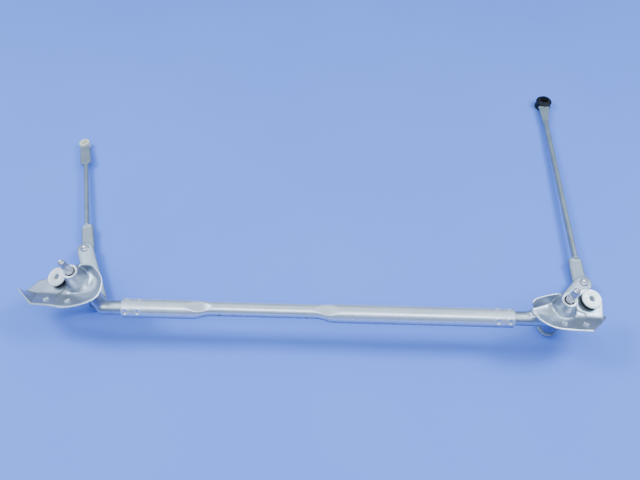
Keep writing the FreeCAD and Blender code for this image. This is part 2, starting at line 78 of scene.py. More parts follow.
def side_frames(side):
    """Local frames of one end: pivot, lever, ball, far socket, ear and floor."""
    shaft = joints[side + "_shaft_turn"]
    swing = joints[side + "_link_swing"]
    socket = mounts[side + "_motor_crank_socket"]
    ear = mounts[side + "_ear_bolt"]
    axis = Vector(shaft["axis"]).normalized()
    pivot = Vector(shaft["pos_m"])
    ball = Vector(swing["pos_m"])
    far = Vector(socket["pos_m"])
    normal = Vector(ear["axis"]).normalized()
    foot = pivot + axis * FOOT_HEIGHT * MM
    return {
        "pivot": local_frame(pivot, axis, ALONG_X),
        "lever": local_frame(pivot, axis, ball - pivot),
        "ball": local_frame(ball, axis, far - ball),
        "far": local_frame(far, Vector(socket["axis"]).normalized(), far - ball),
        "ear": local_frame(Vector(ear["pos_m"]), normal, ALONG_X),
        "floor": local_frame(foot, normal, ALONG_X),
        "lever_length": (ball - pivot).cross(axis).length / MM,
        "link_vector": far - ball,
    }


frames = {side: side_frames(side) for side in SIDES}


# --------------------------------------------------------------------- materials
# Noise scales are in features per metre, and bump distances in millimetres.
WHITE = (1, 1, 1)
EVEN = (1, 1, 1)
# Tone of the painted shade on faces that look down.
UNDERSIDE_SHADE_TONE = (0.4, 0.4, 0.55)


def new_material(name):
    """An empty node material and its Principled shader."""
    made = bpy.data.materials.new(name)
    made.use_nodes = True
    tree = made.node_tree
    shader = tree.nodes["Principled BSDF"]
    return made, tree, shader


def wire(tree, source, target):
    """Link one socket to another."""
    tree.links.new(source, target)


def grain(tree, scale, detail=4, stretch=EVEN):
    """Noise over object coordinates."""
    coords = tree.nodes.new("ShaderNodeTexCoord")
    mapping = tree.nodes.new("ShaderNodeMapping")
    mapping.inputs["Scale"].default_value = stretch
    texture = tree.nodes.new("ShaderNodeTexNoise")
    texture.inputs["Scale"].default_value = scale
    texture.inputs["Detail"].default_value = detail
    texture.inputs["Roughness"].default_value = 0.6
    wire(tree, coords.outputs["Object"], mapping.inputs["Vector"])
    wire(tree, mapping.outputs["Vector"], texture.inputs["Vector"])
    return texture.outputs["Fac"]


def ramp(tree, source, stops):
    """Colour ramp through (position, colour) stops."""
    node = tree.nodes.new("ShaderNodeValToRGB")
    elements = node.color_ramp.elements
    while len(elements) < len(stops):
        elements.new(0.5)
    for element, (place, colour) in zip(elements, stops):
        element.position = place
        element.color = (*colour, 1)
    wire(tree, source, node.inputs["Fac"])
    return node.outputs["Color"]


def grey(value):
    """A neutral colour."""
    return (value, value, value)


def mixed(tree, factor, first, second, blend="MIX"):
    """Mix two colours by a factor socket or number."""
    node = tree.nodes.new("ShaderNodeMix")
    node.data_type = "RGBA"
    node.blend_type = blend
    for value, index in ((factor, 0), (first, 6), (second, 7)):
        if isinstance(value, bpy.types.NodeSocket):
            wire(tree, value, node.inputs[index])
        elif index == 0:
            node.inputs[index].default_value = value
        else:
            node.inputs[index].default_value = (*value, 1)
    return node.outputs[2]


def bumped(tree, shader, layers):
    """Stack bump layers of (height socket, strength, distance in mm)."""
    normal = None
    for height, strength, distance in layers:
        bump = tree.nodes.new("ShaderNodeBump")
        bump.inputs["Strength"].default_value = strength
        bump.inputs["Distance"].default_value = distance * MM
        wire(tree, height, bump.inputs["Height"])
        if normal:
            wire(tree, normal, bump.inputs["Normal"])
        normal = bump.outputs["Normal"]
    wire(tree, normal, shader.inputs["Normal"])


def sharp_edge_share(tree):
    """0 on flats and 1 on sharp outer edges, from the mesh's pointiness."""
    geometry = tree.nodes.new("ShaderNodeNewGeometry")
    return ramp(tree, geometry.outputs["Pointiness"], [(0.52, grey(0)), (0.62, grey(1))])


def painted_underside_shade(tree, tone, strength):
    """Darken a tone where the surface faces down: painted shade on the undersides."""
    coords = tree.nodes.new("ShaderNodeTexCoord")
    split = tree.nodes.new("ShaderNodeSeparateXYZ")
    wire(tree, coords.outputs["Normal"], split.inputs["Vector"])
    facing = tree.nodes.new("ShaderNodeMath")
    facing.operation = "MULTIPLY_ADD"
    facing.inputs[1].default_value = 0.5
    facing.inputs[2].default_value = 0.5
    wire(tree, split.outputs["Z"], facing.inputs[0])
    underside_shade = ramp(tree, facing.outputs[0], [(0.4, UNDERSIDE_SHADE_TONE), (0.66, WHITE)])
    return mixed(tree, strength, tone, underside_shade, "MULTIPLY")


def metal(name, dark, light, rough, grain_scale=1500, stretch=EVEN, pits=0.15, edge=None,
          metallic=1, underside_shade=0):
    """Metal with blotchy tone, grained gloss, fine surface relief, brighter edges and, where asked, painted shade
    on faces that look down.
    """
    made, tree, shader = new_material(name)
    blotches = grain(tree, 55, 5)
    fine = grain(tree, grain_scale, 6, stretch)
    tone = ramp(tree, blotches, [(0.25, dark), (0.75, light)])
    tone = mixed(tree, 0.35, tone, ramp(tree, fine, [(0.3, grey(0.55)), (0.7, grey(1))]),
                 "MULTIPLY")
    # Sharp outer edges take a lighter colour.
    if edge:
        tone = mixed(tree, sharp_edge_share(tree), tone, edge)
    # Painted shade: the tone is darkened where the surface faces down.
    if underside_shade:
        tone = painted_underside_shade(tree, tone, underside_shade)
    wire(tree, tone, shader.inputs["Base Color"])
    shader.inputs["Metallic"].default_value = metallic
    gloss = ramp(tree, grain(tree, 240, 4, stretch),
                 [(0.3, grey(rough - 0.07)), (0.7, grey(rough + 0.09))])
    wire(tree, gloss, shader.inputs["Roughness"])
    bumped(tree, shader, [(fine, pits, 0.12), (grain(tree, 130, 3), 0.25, 0.18)])
    return made


def plastic(name, dark, light, rough, bump=0.12, sheen=0, subsurface=0):
    """Moulded plastic or rubber with a soft mottling and a fine skin."""
    made, tree, shader = new_material(name)
    tone = ramp(tree, grain(tree, 160, 5), [(0.3, dark), (0.7, light)])
    dust = ramp(tree, grain(tree, 900, 6), [(0.62, grey(0)), (0.8, grey(0.35))])
    dusty = tuple(min(1, part * 1.6 + 0.02) for part in light)
    wire(tree, mixed(tree, dust, tone, dusty), shader.inputs["Base Color"])
    gloss = ramp(tree, grain(tree, 420, 4), [(0.3, grey(rough - 0.08)), (0.7, grey(rough + 0.1))])
    wire(tree, gloss, shader.inputs["Roughness"])
    shader.inputs["Specular IOR Level"].default_value = 0.22
    shader.inputs["Sheen Weight"].default_value = sheen
    shader.inputs["Subsurface Weight"].default_value = subsurface
    shader.inputs["Subsurface Scale"].default_value = 2 * MM
    bumped(tree, shader, [(grain(tree, 2600, 4), bump, 0.08), (grain(tree, 300, 3), bump, 0.2)])
    return made


# Darkening of a finish's downward faces is painted shade.
METALS = {
    "tube_steel": {
        "dark": (0.76, 0.82, 0.89), "light": (0.93, 0.97, 1), "rough": 0.25,
        "grain_scale": 1700, "stretch": (0.05, 1, 1), "pits": 0.08,
        "edge": (0.93, 0.94, 0.97), "metallic": 0.6, "underside_shade": 1},
    "cast_alloy": {
        "dark": (0.44, 0.49, 0.56), "light": (0.70, 0.76, 0.84), "rough": 0.36,
        "grain_scale": 1300, "pits": 0.22, "edge": (0.96, 0.97, 0.98), "metallic": 0.85,
        "underside_shade": 0.8},
    "machined_face": {
        "dark": (0.88, 0.89, 0.92), "light": (0.99, 0.99, 1), "rough": 0.3,
        "grain_scale": 2400, "pits": 0.06, "edge": WHITE, "metallic": 0.6},
    "bright_zinc": {
        "dark": (0.82, 0.85, 0.83), "light": (0.95, 0.97, 0.95), "rough": 0.42,
        "grain_scale": 2200, "pits": 0.04, "edge": WHITE, "metallic": 0.55},
    "shaft_steel": {
        "dark": (0.56, 0.54, 0.56), "light": (0.82, 0.80, 0.82), "rough": 0.28,
        "grain_scale": 2400, "pits": 0.12, "edge": (0.97, 0.96, 0.97), "metallic": 0.85},
    "lever_steel": {
        "dark": (0.22, 0.28, 0.36), "light": (0.31, 0.38, 0.47), "rough": 0.46,
        "grain_scale": 1900, "edge": (0.86, 0.9, 0.9), "metallic": 0.55},
    "rod_steel": {
        "dark": (0.27, 0.32, 0.36), "light": (0.41, 0.46, 0.50), "rough": 0.44,
        "grain_scale": 1900, "stretch": (1, 0.2, 1), "pits": 0.18,
        "edge": (0.7, 0.76, 0.76), "metallic": 0.55},
    "bush_bronze": {
        "dark": (0.40, 0.25, 0.12), "light": (0.62, 0.42, 0.22), "rough": 0.4},
}
PLASTICS = {
    "ivory_nylon": {
        "dark": (0.74, 0.74, 0.58), "light": (0.86, 0.86, 0.72), "rough": 0.42, "bump": 0.1,
        "subsurface": 0.25},
    "black_nylon": {
        "dark": (0.006, 0.007, 0.010), "light": (0.016, 0.017, 0.022), "rough": 0.5},
    "black_rubber": {
        "dark": (0.007, 0.008, 0.01), "light": (0.018, 0.019, 0.022), "rough": 0.62,
        "bump": 0.3, "sheen": 0.1},
}
materials = {name: metal(name, **look) for name, look in METALS.items()}
materials |= {name: plastic(name, **look) for name, look in PLASTICS.items()}


# ------------------------------------------------------------------- mesh making
WELD_DISTANCE = 1e-7
SMOOTH_ANGLE = 40


def mesh_of(name, verts, faces, matrix):
    """A mesh of points moved by a matrix, with doubles welded and faces turned outwards."""
    mesh = bpy.data.meshes.new(name)
    mesh.from_pydata([matrix @ Vector(v) for v in verts], [], faces)
    tidy = bmesh.new()
    tidy.from_mesh(mesh)
    bmesh.ops.remove_doubles(tidy, verts=tidy.verts, dist=WELD_DISTANCE)
    bmesh.ops.recalc_face_normals(tidy, faces=tidy.faces)
    tidy.to_mesh(mesh)
    tidy.free()
    return mesh


def in_scene(name, data):
    """A new object in the scene."""
    made = bpy.data.objects.new(name, data)
    bpy.context.scene.collection.objects.link(made)
    return made


def add_piece(name, verts, faces, body, slot, replaced, matrix, smooth=SMOOTH_ANGLE, finish=None):
    """Make a piece from local points, put it in the row frame and hand it to a body."""
    mesh = mesh_of(name, verts, faces, matrix)
    piece = in_scene(name, mesh)
    mesh.materials.append(materials[finish or slot])
    mesh.shade_smooth()
    mesh.set_sharp_from_angle(angle=math.radians(smooth))
    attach(piece, body)
    if replaced:
        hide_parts(*replaced)
    return piece


def apply_modifiers(piece):
    """Replace a piece's mesh by its evaluated mesh."""
    graph = bpy.context.evaluated_depsgraph_get()
    baked = bpy.data.meshes.new_from_object(piece.evaluated_get(graph))
    piece.modifiers.clear()
    piece.data = baked
    baked.shade_smooth()
    baked.set_sharp_from_angle(angle=math.radians(SMOOTH_ANGLE))
    return piece


CORNER_SHARE = 0.48
NEARLY_STRAIGHT = math.radians(88)


def rounded(profile, radius, closed=True, steps=4):
    """Round a polyline's corners. A point may carry its own radius as a third value."""
    points = [Vector(p[:2]) for p in profile]
    count = len(points)
    result = []
    for number, corner in enumerate(points):
        if not closed and number in (0, count - 1):
            result.append(tuple(corner))
            continue
        size = profile[number][2] if len(profile[number]) > 2 else radius
        back = points[number - 1] - corner
        ahead = points[(number + 1) % count] - corner
        room = CORNER_SHARE * min(back.length, ahead.length)
        half = back.angle(ahead, math.pi) / 2
        if size <= 0 or half > NEARLY_STRAIGHT:
            result.append(tuple(corner))
            continue
        setback = min(size / math.tan(half), room)
        start = corner + back.normalized() * setback
        end = corner + ahead.normalized() * setback
        for step in range(steps + 1):
            t = step / steps
            curve = start * (1 - t) ** 2 + corner * 2 * t * (1 - t) + end * t ** 2
            result.append(tuple(curve))
    return result


def lathe(profile, closed=True, segments=64):
    """Turn (radius, height) points about Z. Closed profiles make rings."""
    verts = []
    faces = []
    count = len(profile)
    for step in range(segments):
        angle = TURN * step / segments
        for radius, height in profile:
            verts.append((radius * math.cos(angle), radius * math.sin(angle), height))
    spans = count if closed else count - 1
    for step in range(segments):
        here = step * count
        there = (step + 1) % segments * count
        for span in range(spans):
            after = (span + 1) % count
            faces.append((here + span, there + span, there + after, here + after))
    return verts, faces


def sweep_rings(rings, cap=True):
    """Skin a list of equal closed rings of points, with flat ends if capped."""
    verts = [point for ring in rings for point in ring]
    size = len(rings[0])
    faces = []
    for row in range(len(rings) - 1):
        for step in range(size):
            after = (step + 1) % size
            low = row * size
            high = low + size
            faces.append((low + step, low + after, high + after, high + step))
    if cap:
        faces.append(tuple(reversed(range(size))))
        faces.append(tuple(range(len(verts) - size, len(verts))))
    return verts, faces


def smooth_step(value, low, high):
    """0 below low, 1 above high and a smooth rise between."""
    t = max(0.0, min(1.0, (value - low) / (high - low)))
    return t * t * (3 - 2 * t)


# --------------------------------------------------------------- tube and its place
tube_low, tube_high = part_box("frame_tube")
tube_middle = (tube_low + tube_high) / 2
TUBE_RADIUS = 11
TUBE_BORE = 8.6
TUBE_Y = tube_high.y - TUBE_RADIUS * MM
TUBE_Z = tube_middle.z
TUBE_HALF = (tube_high.x - tube_low.x) / 2 / MM
TUBE_CENTRE = Vector((tube_middle.x, TUBE_Y, TUBE_Z))
WAIST = {"start": -124, "end": -2, "taper": 32, "half": (8.5, 9.5), "wall": 1.9, "lift": 1.6,
         "tilt": 40, "hole": 2, "hole_inset": 10.5, "flat_depth": 2.1,
         "flat_turn": math.radians(62)}
CRIMP = {"first": 5.5, "pitch": 13.7, "angle": 28, "radius": 4, "depth": 1.8, "lip": 0.22}


# ------------------------------------------------ cast surfaces from distance fields
def sample_block(low, high, step):
    """Coordinates of a block of sample points, as three arrays that broadcast."""
    x, y, z = (np.arange(a, b + step, step, dtype=np.float32) for a, b in zip(low, high))
    return x[:, None, None], y[None, :, None], z[None, None, :]


def seen_from(block, matrix):
    """The block's coordinates in the local frame that the matrix leads to."""
    rows = [[float(value) for value in row] for row in matrix][:3]
    x, y, z = block
    return tuple(row[0] * x + row[1] * y + row[2] * z + row[3] for row in rows)


def cone_field(block, low, high, low_radius, high_radius):
    """Signed distance to a cone frustum on the local Z axis."""
    x, y, z = block
    slope = (high_radius - low_radius) / (high - low)
    side = (np.sqrt(x * x + y * y) - low_radius - slope * (z - low)) / math.hypot(1, slope)
    ends = np.abs(z - (low + high) / 2) - (high - low) / 2
    return np.maximum(side, ends)


def pill_field(block, start, end, radius):
    """Signed distance to a round bar with round ends."""
    run = np.array(end, dtype=np.float32) - np.array(start, dtype=np.float32)
    offsets = [axis - origin for axis, origin in zip(block, start)]
    along = sum(offset * part for offset, part in zip(offsets, run)) / float(run @ run)
    along = np.clip(along, 0, 1)
    return np.sqrt(sum((offset - along * part) ** 2
                       for offset, part in zip(offsets, run))) - radius


def join(first, second, fillet):
    """Union of two fields with a fillet along the joint."""
    near = np.maximum(fillet - np.abs(first - second), 0) / fillet
    return np.minimum(first, second) - near * near * fillet / 4


def carve(first, second, fillet):
    """The first field with the second cut from it and the edge rounded."""
    return -join(-first, second, fillet)


def flat_distances(x, y, points, closed):
    """Distance from a grid of flat points to a polyline, and the nearest span's number."""
    best = np.full(np.broadcast_shapes(x.shape, y.shape), 1e6, dtype=np.float32)
    nearest = np.zeros(best.shape, dtype=np.int32)
    ends = points[1:] + ([points[0]] if closed else [])
    for number, (a, b) in enumerate(zip(points, ends)):
        run = (b[0] - a[0], b[1] - a[1])
        length = run[0] ** 2 + run[1] ** 2
        along = np.clip(((x - a[0]) * run[0] + (y - a[1]) * run[1]) / length, 0, 1)
        gap = np.hypot(x - a[0] - along * run[0], y - a[1] - along * run[1])
        closer = gap < best
        best = np.where(closer, gap, best)
        nearest = np.where(closer, number, nearest)
    return best, nearest


def flat_inside(x, y, points):
    """True where a grid of flat points lies inside a closed outline."""
    inside = np.zeros(np.broadcast_shapes(x.shape, y.shape), dtype=bool)
    for a, b in zip(points, points[1:] + points[:1]):
        if a[1] == b[1]:
            continue
        crossing = (b[0] - a[0]) * (y - a[1]) / (b[1] - a[1]) + a[0]
        inside ^= ((a[1] > y) != (b[1] > y)) & (x < crossing)
    return inside


def skin_of(field, low, step):
    """Points and quads over a field's zero level, by surface nets."""
    inside = field < 0
    shape = tuple(size - 1 for size in field.shape)
    corners = [(i, j, k) for i in (0, 1) for j in (0, 1) for k in (0, 1)]
    count = sum(inside[i:i + shape[0], j:j + shape[1], k:k + shape[2]].astype(np.int8)
                for i, j, k in corners)
    active = (count > 0) & (count < 8)
    cells = np.argwhere(active)
    number = np.full(shape, -1, dtype=np.int32)
    number[active] = np.arange(len(cells))
    total = np.zeros((len(cells), 3))
    crossings = np.zeros(len(cells))
    for corner in corners:
        for axis in range(3):
            if corner[axis]:
                continue
            start = cells + corner
            end = start.copy()
            end[:, axis] += 1
            first = field[tuple(start.T)]
            second = field[tuple(end.T)]
            crossed = (first < 0) != (second < 0)
            place = start[crossed].astype(float)
            place[:, axis] += first[crossed] / (first[crossed] - second[crossed])
            total[crossed] += place
            crossings[crossed] += 1
    verts = np.array(low) + step * total / crossings[:, None]
    quads = []
    for axis in range(3):
        ahead = np.roll(inside, -1, axis)
        changed = np.argwhere(inside != ahead)
        side_a, side_b = [other for other in range(3) if other != axis]
        keep = (changed[:, side_a] > 0) & (changed[:, side_b] > 0)
        keep &= (changed[:, side_a] < shape[side_a]) & (changed[:, side_b] < shape[side_b])
        changed = changed[keep & (changed[:, axis] < shape[axis])]
        loops = []
        for back_a, back_b in ((0, 0), (1, 0), (1, 1), (0, 1)):
            cell = changed.copy()
            cell[:, side_a] -= back_a
            cell[:, side_b] -= back_b
            loops.append(number[tuple(cell.T)])
        quads.append(np.stack(loops, axis=1))
    return verts, np.concatenate(quads)


def curve_through(points, steps):
    """A smooth curve through flat points."""
    ends = [points[0], *points, points[-1]]
    made = []
    for a, b, c, d in zip(ends, ends[1:], ends[2:], ends[3:]):
        for step in range(steps):
            t = step / steps
            made.append(tuple(
                0.5 * (2 * q + (r - p) * t + (2 * p - 5 * q + 4 * r - s) * t * t
                       + (3 * q - p - 3 * r + s) * t ** 3)
                for p, q, r, s in zip(a, b, c, d)))
    return made + [tuple(points[-1])]


def moved_in(points, amount):
    """An open flat outline moved sideways, to the left of its own direction."""
    made = []
    for number, point in enumerate(points):
        before = Vector(points[max(number - 1, 0)])
        after = Vector(points[min(number + 1, len(points) - 1)])
        run = (after - before).normalized()
        made.append((point[0] - run.y * amount, point[1] + run.x * amount))
    return made


# ------------------------------------------------------------------ pivot holders
# Outlines lie in the holder's floor plane, with the origin where the shaft crosses it.
# They run from the wall's free end round to the boss; "hand" is the side the inside is on.
CAST_STEP = 0.75
RIM_HEIGHT = 13
FLOOR_THICK = 3
RIM_WALL = 1.7
ROOT_WALL = 1.8
ROOT_SHIFT = 1.2
EAR_RADIUS = 16
EAR_HOLE = 7
SADDLE_REACH = 32
BARREL_LOW = 3.05
BARREL_RADIUS = 9.5
SKIRT_RADIUS = 13.5
SKIRT_HEIGHT = 18
BOSS_RADII = (13.6, 8.7)
RIB_HALF = 1.4
RIB_HEIGHT = 30
SHAFT_BORE = 7
RECESS_BORE = 7.3
SPIGOT_RADIUS = 8.4
SPIGOT_GRIP = 25
ARM_RADIUS = 8
OUTLINE_MIDDLE = 0.9    # middle of the whole linkage along X, from the middle of the tube
HOLDERS = {
    "left": {
        "straight": True, "hand": 1,
        "rim": [(-73, -9), (-50, -31), (-25, -35), (-2, -39.5), (22, -37.5), (40, -29),
                (42, -8), (25, 11.5), (4, 14)],
        "fold": [(-73, -7), (-53, -12.5), (-30, -15.5), (-7, -18.5), (14, -20), (27, -14),
                 (28, -3), (19, 7), (4, 11)],
        "edge": [(-25.1, 20), (-44, 7), (-55, 6.5)],
        "ear": (-25.1, 4), "marks": [-32, -3], "mark_slant": 2.2, "saddle": None,
        "elbow": -248, "ribs": [(-135, 24), (20, 22)],
        "low": (-79, -45, -60), "high": (88, 26, 26),
    },
    "right": {
        "straight": False, "hand": -1,
        "rim": [(25, -32), (-2, -32.7), (-20, -31), (-36, -23), (-44.5, -11), (-41, 2),
                (-22, 10), (-5, 14)],
        "fold": [(48, -10.3), (5, -11), (-12, -13), (-28, -13), (-37, -9), (-36, -3),
                 (-20, 4), (-5, 9)],
        "edge": [(33.8, 27.5), (46, 22), (49.5, 8)],
        "ear": (33.8, 11.5), "marks": [20, -4], "mark_slant": -2.2, "saddle": (-14.5, -4),
        "elbow": 268, "ribs": [(-20, 24), (165, 24)],
        "low": (-89, -38, -61), "high": (55, 33, 26),
    },
}


def wall_outlines(shape):
    """The wall's curve at its rim and at its fold, point for point."""
    made = []
    for key in ("rim", "fold"):
        points = shape[key]
        if shape["straight"]:
            lead = [tuple(Vector(points[0]).lerp(Vector(points[1]), step / 4)) for step in range(4)]
            made.append(lead + curve_through(points[1:], 6))
        else:
            made.append(curve_through(points, 6))
    return made


def wall_flare(rim, fold):
    """How upright each span of the wall stands: 1 is square to the floor."""
    made = []
    for number in range(len(fold)):
        ahead = min(number + 1, len(fold) - 1)
        run = (Vector(fold[ahead]) - Vector(fold[ahead - 1])).normalized()
        reach = Vector(rim[number]) - Vector(fold[number])
        lean = abs(run.x * reach.y - run.y * reach.x)
        made.append(RIM_HEIGHT / math.hypot(RIM_HEIGHT, lean))
    return np.array(made, dtype=np.float32)


def floor_field(block, shape):
    """Floor plate with its ear."""
    x, y, z = block
    outline = wall_outlines(shape)[1] + [tuple(point) for point in shape["edge"]]
    reach, _ = flat_distances(x[:, :, 0], y[:, :, 0], outline, True)
    inside = flat_inside(x[:, :, 0], y[:, :, 0], outline)
    plate = np.where(inside, -reach, reach)[:, :, None]
    ear_x, ear_y = shape["ear"]
    ear = np.hypot(x - ear_x, y - ear_y) - EAR_RADIUS
    slab = np.abs(z + FLOOR_THICK / 2) - FLOOR_THICK / 2
    return np.maximum(join(plate, ear, 5), slab)


def wall_field(block, shape, like):
    """Flared wall, level by level, with the spigot's saddle cut from it."""
    x, y, z = block
    rim, fold = wall_outlines(shape)
    wall = np.full(like.shape, 50, dtype=np.float32)
    flare = wall_flare(rim, fold)
    for level in range(z.shape[2]):
        height = float(z[0, 0, level])
        if not -FLOOR_THICK - 2 < height < RIM_HEIGHT + 2:
            continue
        rise = max(-FLOOR_THICK, min(RIM_HEIGHT, height)) / RIM_HEIGHT
        thick = ROOT_WALL + (RIM_WALL - ROOT_WALL) * max(0, rise)
        spans = [tuple(Vector(low).lerp(Vector(high), rise)) for low, high in zip(fold, rim)]
        inset = thick / 2 - ROOT_SHIFT * (1 - max(0, rise))
        gap, nearest = flat_distances(x[:, :, 0], y[:, :, 0],
                                      moved_in(spans, shape["hand"] * inset), False)
        sheet = gap * flare[nearest] - thick / 2
        over = max(height - RIM_HEIGHT, -FLOOR_THICK - height)
        wall[:, :, level] = np.maximum(sheet, over)
    if shape["saddle"]:
        low, high = shape["saddle"]
        across = np.abs(y - (low + high) / 2) - (high - low) / 2
        wall = carve(wall, np.maximum(across, x + SADDLE_REACH), 4)
    return wall


def mark_fields(block, shape):
    """Two small raised casting marks on the inside of the front wall."""
    rim, fold = wall_outlines(shape)
    made = []
    for place in shape["marks"]:
        low = min(fold, key=lambda point: abs(point[0] - place) + max(0, point[1]) * 10)
        high = min(rim, key=lambda point: abs(point[0] - place) + max(0, point[1]) * 10)
        middle = Vector((*low, 0)).lerp(Vector((*high, RIM_HEIGHT)), 0.55)
        slope = Vector((0, high[1] - low[1], RIM_HEIGHT)).normalized()
        lean = ALONG_X * 0.8 * shape["mark_slant"] - slope * abs(shape["mark_slant"]) * 0.7
        lift = slope.cross(ALONG_X) * 2.5
        made.append(pill_field(block, middle + lift - lean, middle + lift + lean, 1.25))
    return made


def column_field(about):
    """Barrel, the skirt that widens it up to the floor, and the conical boss."""
    barrel = cone_field(about, BARREL_LOW, BOSS_TOP - 1, BARREL_RADIUS, BARREL_RADIUS)
    skirt = cone_field(about, FOOT_HEIGHT - SKIRT_HEIGHT, FOOT_HEIGHT, BARREL_RADIUS,
                       SKIRT_RADIUS)
    boss = cone_field(about, FOOT_HEIGHT - 1, BOSS_TOP, *BOSS_RADII)
    return join(join(barrel, skirt, 3), boss, 1)


def rib_field(block, about, shape):
    """Thin ribs under the floor, each at its heading and out to its reach."""
    ribs = []
    for heading, reach in shape["ribs"]:
        turn = math.radians(heading)
        across = about[1] * math.cos(turn) - about[0] * math.sin(turn)
        along = about[0] * math.cos(turn) + about[1] * math.sin(turn)
        wedge = cone_field(about, FOOT_HEIGHT - RIB_HEIGHT, FOOT_HEIGHT - 2, 9, reach)
        rib = np.maximum(np.maximum(np.abs(across) - RIB_HALF, wedge), -along)
        ribs.append(np.maximum(rib, block[2] + FLOOR_THICK / 2))
    return np.minimum(*ribs)


def stem_field(block, side):
    """Spigot inside the tube, and the arm from its elbow to the barrel."""
    back = frames[side]["floor"].inverted()
    out = -1 if side == "left" else 1
    tube_end = tube_low.x if side == "left" else tube_high.x
    grip = Vector((tube_end - out * SPIGOT_GRIP * MM, TUBE_Y, TUBE_Z))
    elbow = Vector(((HOLDERS[side]["elbow"] - OUTLINE_MIDDLE) * MM, TUBE_Y, TUBE_Z))
    axis = Vector(joints[side + "_shaft_turn"]["axis"])
    pivot = Vector(joints[side + "_shaft_turn"]["pos_m"])
    arm_end = pivot + axis * (TUBE_Z - pivot.z) / axis.z
    spigot = pill_field(block, back @ grip, back @ elbow, SPIGOT_RADIUS)
    arm = pill_field(block, back @ elbow, back @ arm_end, ARM_RADIUS)
    return join(spigot, arm, 2)


def hole_fields(block, about, shape):
    """Shaft bore, the seal's recess with its lead-in, and the grommet's hole in the ear."""
    bore = cone_field(about, -5, BOSS_TOP + 5, SHAFT_BORE, SHAFT_BORE)
    recess = cone_field(about, BOSS_TOP - RECESS_DEPTH, BOSS_TOP + 6, RECESS_BORE, RECESS_BORE)
    lead_in = cone_field(about, BOSS_TOP - 0.8, BOSS_TOP + 3, 7.2, 11)
    ear_x, ear_y = shape["ear"]
    ear_hole = np.maximum(np.hypot(block[0] - ear_x, block[1] - ear_y) - EAR_HOLE,
                          np.abs(block[2] + FLOOR_THICK / 2) - 6)
    return bore, recess, lead_in, ear_hole


def cast_holder(side):
    """Cast holder: dish, conical boss, barrel, ribs and the spigot inside the tube."""
    shape = HOLDERS[side]
    local = frames[side]
    block = sample_block(shape["low"], shape["high"], CAST_STEP)
    about = seen_from(block, local["pivot"].inverted() @ local["floor"])
    floor = floor_field(block, shape)
    field = join(floor, wall_field(block, shape, floor), 1.5)
    under = join(column_field(about), rib_field(block, about, shape), 2.5)
    field = join(field, under, 5)
    field = join(field, stem_field(block, side), 7)
    for mark in mark_fields(block, shape):
        field = join(field, mark, 0.6)
    for hole in hole_fields(block, about, shape):
        field = carve(field, hole, 0.5)
    verts, quads = skin_of(field, shape["low"], CAST_STEP)
    holder = add_piece(side + "_holder_casting", verts.tolist(), quads.tolist(), "frame",
                       "cast_alloy", [side + "_pivot_holder"], local["floor"])
    soften = holder.modifiers.new("soften", "SMOOTH")
    soften.factor = 0.5
    soften.iterations = 2
    return apply_modifiers(holder)


# ---------------------------------------------------------------------- frame tube
TUBE_SIDES = 128
END_EDGE = 0.7
CRIMPED_FROM = 200
tube_lean = math.radians(WAIST["tilt"])
tube_up = Vector((0, math.cos(tube_lean), math.sin(tube_lean)))
tube_front = Vector((0, -math.sin(tube_lean), math.cos(tube_lean)))
tube_frame = local_frame(TUBE_CENTRE, tube_front, ALONG_X)


def crimp_dents():
    """Place along the tube and angle round it of every crimp dent."""
    made = []
    for end in (-1, 1):
        for step in (0, 1):
            along = end * (TUBE_HALF - CRIMP["first"] - step * CRIMP["pitch"])
            for quarter in range(4):
                turn = math.radians(CRIMP["angle"] + 90 * quarter)
                out = Vector((0, -math.cos(turn), math.sin(turn)))
                made.append((along, math.atan2(out.dot(tube_front), out.dot(tube_up))))
    return made


def dent_depth(along, angle, dents):
    """How far the crimps push the tube's skin in at one point."""
    depth = 0
    half_chord = math.sqrt(CRIMP["radius"] ** 2 - (CRIMP["radius"] - CRIMP["depth"]) ** 2)
    for place, turn in dents:
        swing = (angle - turn + math.pi) % TURN - math.pi
        away = math.hypot(along - place, swing * TUBE_RADIUS)
        if away < half_chord:
            depth += math.sqrt(CRIMP["radius"] ** 2 - away ** 2)
            depth -= CRIMP["radius"] - CRIMP["depth"]
        depth -= CRIMP["lip"] * math.exp(-((away - half_chord - 0.7) / 0.6) ** 2)
    return depth


def pressed(along):
    """0 in the round sleeve ends and 1 in the thinner waist."""
    taper = WAIST["taper"]
    late = 0.35 * taper
    rise = smooth_step(along, WAIST["start"] - taper + late, WAIST["start"])
    return rise * (1 - smooth_step(along, WAIST["end"], WAIST["end"] + taper - late))


def press_flat(along):
    """Depth of the lens-shaped flat that the press leaves at each end of the waist."""
    taper = WAIST["taper"]
    into = max(WAIST["start"] - along, along - WAIST["end"]) / taper + 0.12
    if not 0 < into < 1:
        return 0
    return WAIST["flat_depth"] * math.sin(math.pi * into) ** 1.5


def tube_ring(along, full, wall, dents):
    """One ring of the tube's skin, in the tube's own frame."""
    share = pressed(along)
    depth = press_flat(along)
    up = full + (WAIST["half"][0] - wall - full) * share
    front = full + (WAIST["half"][1] - wall - full) * share
    flat_up, flat_front = math.cos(WAIST["flat_turn"]), math.sin(WAIST["flat_turn"])
    reach = math.hypot(up * flat_up, front * flat_front) + WAIST["lift"] * share * flat_up
    ring = []
    for step in range(TUBE_SIDES):
        angle = TURN * step / TUBE_SIDES
        y = up * math.cos(angle) + WAIST["lift"] * share
        z = front * math.sin(angle)
        over = y * flat_up + z * flat_front - reach + depth
        if over > 0 < depth:
            y -= over * flat_up
            z -= over * flat_front
        if dents:
            sunk = dent_depth(along, angle, dents) / math.hypot(y, z)
            y -= y * sunk
            z -= z * sunk
        ring.append((along, y, z))
    return ring


def tube_stations():
    """Places of the rings along the tube, closer together where the crimps are."""
    stations = [-TUBE_HALF + END_EDGE]
    while stations[-1] < TUBE_HALF - END_EDGE:
        crimped = TUBE_HALF - abs(stations[-1]) < CRIMP["first"] + CRIMP["pitch"] + 5
        stations.append(min(stations[-1] + (0.6 if crimped else 2), TUBE_HALF - END_EDGE))
    return stations


